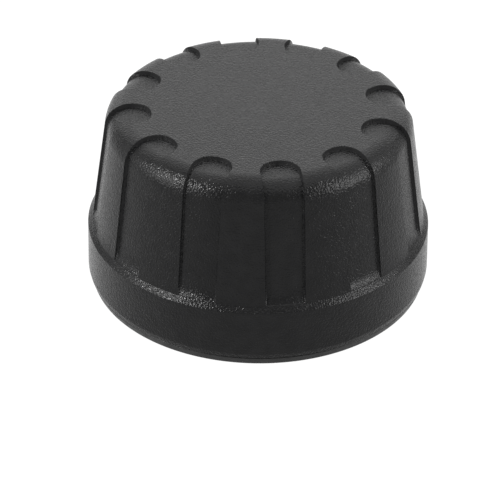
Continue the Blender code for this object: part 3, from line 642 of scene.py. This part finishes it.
# ---------------------------------------------------------------- materials
class Look:
    """A Principled material with helpers for procedural detail in object space."""

    def __init__(self, name, color, roughness, metallic=0.0, specular=0.5):
        self.material = bpy.data.materials.new(name)
        self.material.use_nodes = True
        self.nodes = self.material.node_tree.nodes
        self.links = self.material.node_tree.links
        self.shader = self.nodes["Principled BSDF"]
        self.color = color
        self.set("Base Color", (*color, 1.0))
        self.set("Roughness", roughness)
        self.set("Metallic", metallic)
        self.set("Specular IOR Level", specular)
        self.place = self.nodes.new("ShaderNodeTexCoord").outputs["Object"]

    def set(self, socket, value):
        self.shader.inputs[socket].default_value = value
        return self

    def feed(self, socket, value):
        """Give a node's socket a number or a texture value."""
        if isinstance(value, float):
            socket.default_value = value
        else:
            self.links.new(value, socket)

    def combined(self, operation, first, second):
        """Two values worked into one by a math node."""
        node = self.nodes.new("ShaderNodeMath")
        node.operation = operation
        self.feed(node.inputs[0], first)
        self.feed(node.inputs[1], second)
        return node.outputs[0]

    def stretched(self, scale):
        """Object coordinates scaled by a vector, for grain that runs one way."""
        node = self.nodes.new("ShaderNodeMapping")
        node.inputs["Scale"].default_value = scale
        self.links.new(self.place, node.inputs["Vector"])
        return node.outputs["Vector"]

    def rings(self):
        """A coordinate that changes only with the distance from the axis and the height."""
        split = self.nodes.new("ShaderNodeSeparateXYZ")
        self.links.new(self.place, split.inputs[0])
        flat = self.nodes.new("ShaderNodeCombineXYZ")
        self.links.new(split.outputs["X"], flat.inputs["X"])
        self.links.new(split.outputs["Y"], flat.inputs["Y"])
        length = self.nodes.new("ShaderNodeVectorMath")
        length.operation = "LENGTH"
        self.links.new(flat.outputs[0], length.inputs[0])
        out = self.nodes.new("ShaderNodeCombineXYZ")
        self.links.new(length.outputs["Value"], out.inputs["X"])
        self.links.new(split.outputs["Z"], out.inputs["Y"])
        return out.outputs[0]

    def noise(self, size, detail=3.0, rough=0.5, place=None):
        """Noise whose features are about size metres across."""
        node = self.nodes.new("ShaderNodeTexNoise")
        node.inputs["Scale"].default_value = 1 / size
        node.inputs["Detail"].default_value = detail
        node.inputs["Roughness"].default_value = rough
        self.links.new(place or self.place, node.inputs["Vector"])
        return node.outputs["Fac"]

    def cells(self, size):
        """The distance to the nearest of points about size metres apart."""
        node = self.nodes.new("ShaderNodeTexVoronoi")
        node.inputs["Scale"].default_value = 1 / size
        self.links.new(self.place, node.inputs["Vector"])
        return node.outputs["Distance"]

    def traces(self, size):
        """Straight diagonal lines between cells, like a board's copper tracks."""
        near, far = [self.nodes.new("ShaderNodeTexVoronoi") for _ in range(2)]
        for node, feature in ((near, "F1"), (far, "F2")):
            node.feature = feature
            node.distance = "MANHATTAN"
            node.inputs["Scale"].default_value = 1 / size
            self.links.new(self.place, node.inputs["Vector"])
        return self.combined("SUBTRACT", far.outputs["Distance"], near.outputs["Distance"])

    def off_walls(self, top, depth):
        """1, but 0 on the steep walls cut this deep into a flat face at the given height."""
        heights = []
        shape = self.nodes.new("ShaderNodeNewGeometry")
        for source in (self.place, shape.outputs["Normal"]):
            split = self.nodes.new("ShaderNodeSeparateXYZ")
            self.links.new(source, split.inputs[0])
            heights.append(split.outputs["Z"])
        below = self.combined("LESS_THAN", heights[0], top - depth)
        return self.combined("MAXIMUM", below, self.ranged(heights[1], 0.0, 1.0, 0.6, 0.9))

    def ranged(self, value, low, high, from_low=0.35, from_high=0.65):
        """A value moved from one range to another. Noise mostly stays within 0.35 to 0.65."""
        node = self.nodes.new("ShaderNodeMapRange")
        node.inputs["From Min"].default_value = from_low
        node.inputs["From Max"].default_value = from_high
        node.inputs["To Min"].default_value = low
        node.inputs["To Max"].default_value = high
        self.links.new(value, node.inputs["Value"])
        return node.outputs["Result"]

    def tinted(self, value, other, from_low=0.35, from_high=0.65):
        """Mix the base colour towards another one by a texture value."""
        node = self.nodes.new("ShaderNodeMix")
        node.data_type = "RGBA"
        node.inputs["A"].default_value = (*self.color, 1.0)
        node.inputs["B"].default_value = (*other, 1.0)
        self.links.new(self.ranged(value, 0.0, 1.0, from_low, from_high), node.inputs["Factor"])
        self.links.new(node.outputs["Result"], self.shader.inputs["Base Color"])
        return self

    def rough(self, value, low, high, least=None):
        """Roughness from a texture value, never under the least one where that is given."""
        result = self.ranged(value, low, high)
        if least:
            result = self.combined("MAXIMUM", result, least)
        self.links.new(result, self.shader.inputs["Roughness"])
        return self

    def bump(self, value, depth, strength=1.0):
        """A bump of the given depth in metres, its strength a number or a texture value."""
        node = self.nodes.new("ShaderNodeBump")
        self.feed(node.inputs["Strength"], strength)
        node.inputs["Distance"].default_value = depth
        self.links.new(value, node.inputs["Height"])
        self.links.new(node.outputs["Normal"], self.shader.inputs["Normal"])
        return self


def grained_plastic():
    """The cap's plastic: fine grain that glitters, but plain and matt recess walls on top."""
    look = Look("grained_black_plastic", (0.0045, 0.0045, 0.0047), 0.25, specular=0.13)
    look.tinted(look.noise(0.9 * MM), (0.006, 0.006, 0.0062))
    off_walls = look.off_walls(CAP_TOP, RECESS_TOP_DEPTH + 0.1 * MM)
    matt_walls = look.ranged(off_walls, 0.8, 0.0, from_low=0.0, from_high=1.0)
    look.rough(look.noise(0.3 * MM, 2.0), 0.2, 0.3, least=matt_walls)
    grain = look.noise(0.13 * MM, detail=0.6, rough=0.6)
    return look.bump(grain, 0.048 * MM, off_walls).material


def moulded_plastic():
    """The base's plastic, smoother than the cap's."""
    look = Look("moulded_black_plastic", (0.009, 0.009, 0.0092), 0.42, specular=0.18)
    look.tinted(look.noise(1.5 * MM), (0.012, 0.012, 0.0122))
    look.rough(look.noise(0.5 * MM, 2.0), 0.36, 0.5)
    return look.bump(look.noise(0.16 * MM, 1.0), 0.014 * MM).material


def greased_rubber():
    look = Look("seal_rubber", (0.016, 0.016, 0.017), 0.5, specular=0.4)
    look.tinted(look.noise(0.6 * MM), (0.026, 0.026, 0.027))
    look.rough(look.noise(0.4 * MM, 2.0), 0.3, 0.65)
    return look.bump(look.noise(0.12 * MM, 2.0), 0.01 * MM).material


def foam():
    look = Look("closed_cell_foam", (0.06, 0.06, 0.065), 0.95, specular=0.2)
    look.tinted(look.cells(0.22 * MM), (0.02, 0.02, 0.022), from_low=0.0, from_high=0.6)
    return look.bump(look.cells(0.22 * MM), 0.08 * MM).material


def brass(name="machined_brass", color=(0.72, 0.5, 0.19)):
    """Turned metal with fine tool rings round the axis."""
    look = Look(name, color, 0.28, 1.0)
    look.tinted(look.noise(1.2 * MM), tuple(0.78 * c for c in color))
    look.rough(look.noise(0.3 * MM, 2.0), 0.2, 0.38)
    return look.bump(look.noise(0.05 * MM, 2.0, 0.6, look.rings()), 0.005 * MM).material


def silicone():
    look = Look("white_silicone", (0.72, 0.72, 0.69), 0.5, specular=0.4)
    look.set("Subsurface Weight", 0.15)
    look.set("Subsurface Scale", 0.4 * MM)
    look.tinted(look.noise(1.0 * MM), (0.6, 0.6, 0.56))
    return look.bump(look.noise(0.15 * MM, 2.0), 0.012 * MM).material


def solder_mask():
    """Green board, with lighter copper tracks showing through the mask."""
    look = Look("green_board", (0.016, 0.15, 0.055), 0.3, specular=0.5)
    tracks = look.traces(1.5 * MM)
    look.tinted(tracks, (0.012, 0.12, 0.044), from_low=0.12, from_high=0.2)
    look.rough(look.noise(0.4 * MM, 2.0), 0.24, 0.4)
    return look.bump(tracks, 0.02 * MM, 0.3).material


def resin():
    look = Look("chip_resin", (0.012, 0.012, 0.012), 0.5, specular=0.4)
    look.tinted(look.noise(0.5 * MM), (0.02, 0.02, 0.02))
    look.rough(look.noise(0.2 * MM, 2.0), 0.42, 0.6)
    return look.bump(look.noise(0.06 * MM, 1.0), 0.01 * MM).material


def fired_ceramic():
    """Tan ceramic with a darker speckle."""
    look = Look("fired_ceramic", (0.42, 0.29, 0.17), 0.5)
    look.tinted(look.noise(0.1 * MM), (0.3, 0.2, 0.11))
    look.rough(look.noise(0.1 * MM), 0.4, 0.6)
    return look.bump(look.noise(0.06 * MM, 1.0), 0.01 * MM).material


def plated(name, color, low, high):
    """Plated metal with fine drawn lines, its roughness between two values."""
    look = Look(name, color, (low + high) / 2, 1.0)
    look.tinted(look.noise(1.0 * MM), tuple(0.82 * c for c in color))
    look.rough(look.noise(0.25 * MM, 3.0), low, high)
    lines = look.noise(0.04 * MM, 2.0, place=look.stretched((0.08, 1.0, 0.08)))
    return look.bump(lines, 0.003 * MM).material


def turned_steel():
    """The cell's can: nickel-plated steel with faint rings and a few scuffs."""
    look = Look("turned_steel", (0.62, 0.61, 0.59), 0.25, 1.0)
    rings = look.noise(0.06 * MM, 3.0, 0.6, look.rings())
    scuffs = look.noise(0.35 * MM, 4.0, 0.7, look.stretched((1.0, 0.15, 1.0)))
    look.tinted(scuffs, (0.5, 0.49, 0.47), from_low=0.45, from_high=0.75)
    look.rough(rings, 0.21, 0.29)
    return look.bump(rings, 0.001 * MM).material


def insulator():
    look = Look("cell_insulator", (0.66, 0.66, 0.62), 0.45)
    look.tinted(look.noise(0.8 * MM), (0.56, 0.56, 0.52))
    return look.bump(look.noise(0.1 * MM), 0.003 * MM).material


def lithium():
    look = Look("lithium_foil", (0.6, 0.6, 0.62), 0.45, 1.0)
    look.tinted(look.noise(0.7 * MM), (0.38, 0.38, 0.42))
    look.rough(look.noise(0.3 * MM), 0.35, 0.6)
    return look.bump(look.noise(0.2 * MM), 0.01 * MM).material


def separator_paper():
    look = Look("separator_paper", (0.78, 0.78, 0.75), 0.9, specular=0.2)
    look.tinted(look.noise(0.15 * MM, 4.0, 0.7), (0.66, 0.66, 0.62))
    return look.bump(look.noise(0.08 * MM, 4.0, 0.7), 0.01 * MM).material


def cathode_powder():
    look = Look("cathode_powder", (0.03, 0.03, 0.03), 0.85, specular=0.2)
    look.tinted(look.noise(0.12 * MM, 4.0, 0.7), (0.055, 0.053, 0.05))
    return look.bump(look.noise(0.08 * MM, 4.0, 0.7), 0.012 * MM).material


# ---------------------------------------------------------------- putting it together
def wear(piece, look):
    """Give a piece one material."""
    piece.data.materials.clear()
    piece.data.materials.append(look)


def stands_for(piece, look, body, node):
    """A finished piece: its material, its body and what it replaces."""
    wear(piece, look)
    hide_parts(node)
    if body:
        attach(piece, body)
    return piece


def dress_node(node, look):
    """Give a CAD node that stays as it is a material."""
    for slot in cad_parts[node].material_slots:
        slot.material = look


def build_sensor():
    black = grained_plastic()
    inner_black = moulded_plastic()
    brass_look = brass()
    nickel = plated("nickel_plate", (0.66, 0.63, 0.57), 0.16, 0.3)
    zinc = plated("zinc_plate", (0.55, 0.56, 0.58), 0.25, 0.42)
    white = silicone()
    ceramic = fired_ceramic()
    steel = turned_steel()

    stands_for(cap_shell(), black, "cap", "outer_cap")
    stands_for(pad(), foam(), "cap", "battery_pad")
    stands_for(seal_ring(), greased_rubber(), "seal", "cap_o_ring")
    stands_for(base_shell(), inner_black, "base", "base_housing")
    stands_for(brass_insert(), brass_look, "base", "valve_insert")
    stands_for(rubber_gasket(), white, "base", "valve_gasket")
    stands_for(valve_pin(), brass_look, "base", "core_depressor")
    stands_for(holder(), inner_black, "base", "cell_holder")
    stands_for(side_clip(), nickel, "base", "positive_clip")
    stands_for(can(), steel, "cell", "cell_can")
    spring = stands_for(leaf_spring(), nickel, None, "negative_contact")
    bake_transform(spring)

    dress_node("port_seal", white)
    dress_node("sensor_chip", resin())
    dress_node("circuit_board", solder_mask())
    dress_node("crystal", nickel)
    dress_node("matching_inductor", ceramic)
    for index in range(4):
        dress_node(f"capacitor_{index + 1}", ceramic)
    for index in range(3):
        dress_node(f"board_screw_{index + 1}", zinc)
    dress_node("antenna_loop", brass("antenna_wire", (0.7, 0.36, 0.2)))
    dress_node("cell_gasket", insulator())
    dress_node("cell_lid", steel)
    dress_node("lithium_anode", lithium())
    dress_node("cell_separator", separator_paper())
    dress_node("cathode_pellet", cathode_powder())


# ---------------------------------------------------------------- studio
CAMERA_TARGET = Vector((0, 0, 6 * MM))
CAMERA_DISTANCE = 181.2 * MM
CAMERA_ELEVATION = math.radians(32.57)
CAMERA_ROLL = 0.01
CAMERA_LENS = 178.9
CAMERA_SHIFT = (-0.0168, -0.104)
LIT_POINT = Vector((0, 0, 8 * MM))
FLOOR_GAP = 0.02 * MM


def floor():
    """A floor that glows a little, so that it stays white under the sensor."""
    bpy.ops.mesh.primitive_plane_add(size=3.0, location=(0, 0, BASE_Z - FLOOR_GAP))
    plane = bpy.context.object
    plane.name = "studio_floor"
    look = Look("studio_floor", (0.06, 0.06, 0.06), 0.9, specular=0.1)
    look.set("Emission Color", (1, 1, 1, 1)).set("Emission Strength", 0.96)
    look.tinted(look.noise(40 * MM), (0.055, 0.055, 0.055))
    wear(plane, look.material)


def softbox(name, place, size, power):
    """A rectangular light, in metres and watts, that faces the sensor."""
    data = bpy.data.lights.new(name, "AREA")
    data.shape = "RECTANGLE"
    data.size, data.size_y = size
    data.energy = power
    box = add_object(name, data)
    box.location = place
    box.rotation_euler = (LIT_POINT - Vector(place)).to_track_quat("-Z", "Y").to_euler()


def studio():
    """A pale floor and air, large soft lights, and two small ones that make the grain glitter."""
    floor()
    world = bpy.data.worlds.new("studio_air")
    world.use_nodes = True
    world.node_tree.nodes["Background"].inputs["Color"].default_value = (1, 1, 1, 1)
    world.node_tree.nodes["Background"].inputs["Strength"].default_value = 0.5
    bpy.context.scene.world = world
    softbox("back_box", (0, 0.42, 0.3), (0.9, 0.6), 2.65)
    softbox("top_box", (0.06, 0.05, 0.55), (0.82, 0.7), 2.85)
    key_size, fill_size, side_size = (0.04, 0.04), (0.3, 0.24), (0.4, 0.36)
    softbox("left_key", (-0.355, -0.17, 0.32), key_size, 2.15)
    softbox("right_key", (0.41, -0.11, 0.28), key_size, 0.4)
    softbox("right_fill", (0.48, -0.2, 0.155), fill_size, 2.4)
    softbox("left_fill", (-0.48, -0.2, 0.155), fill_size, 1.75)
    softbox("right_side", (0.5, 0.03, 0.26), side_size, 1.1)
    softbox("left_side", (-0.5, 0.03, 0.26), side_size, 0.7)


def camera():
    data = bpy.data.cameras.new("camera")
    data.sensor_width = 36
    data.lens = CAMERA_LENS
    data.shift_x, data.shift_y = CAMERA_SHIFT
    data.clip_start = 10 * MM
    made = add_object("camera", data)
    back = Vector((0, -math.cos(CAMERA_ELEVATION), math.sin(CAMERA_ELEVATION)))
    made.location = CAMERA_TARGET + back * CAMERA_DISTANCE
    aim = (-back).to_track_quat("-Z", "Y").to_matrix() @ Matrix.Rotation(CAMERA_ROLL, 3, "Z")
    made.rotation_euler = aim.to_euler()
    bpy.context.scene.camera = made


build_sensor()
studio()
camera()
bpy.context.scene.view_settings.view_transform = "Standard"
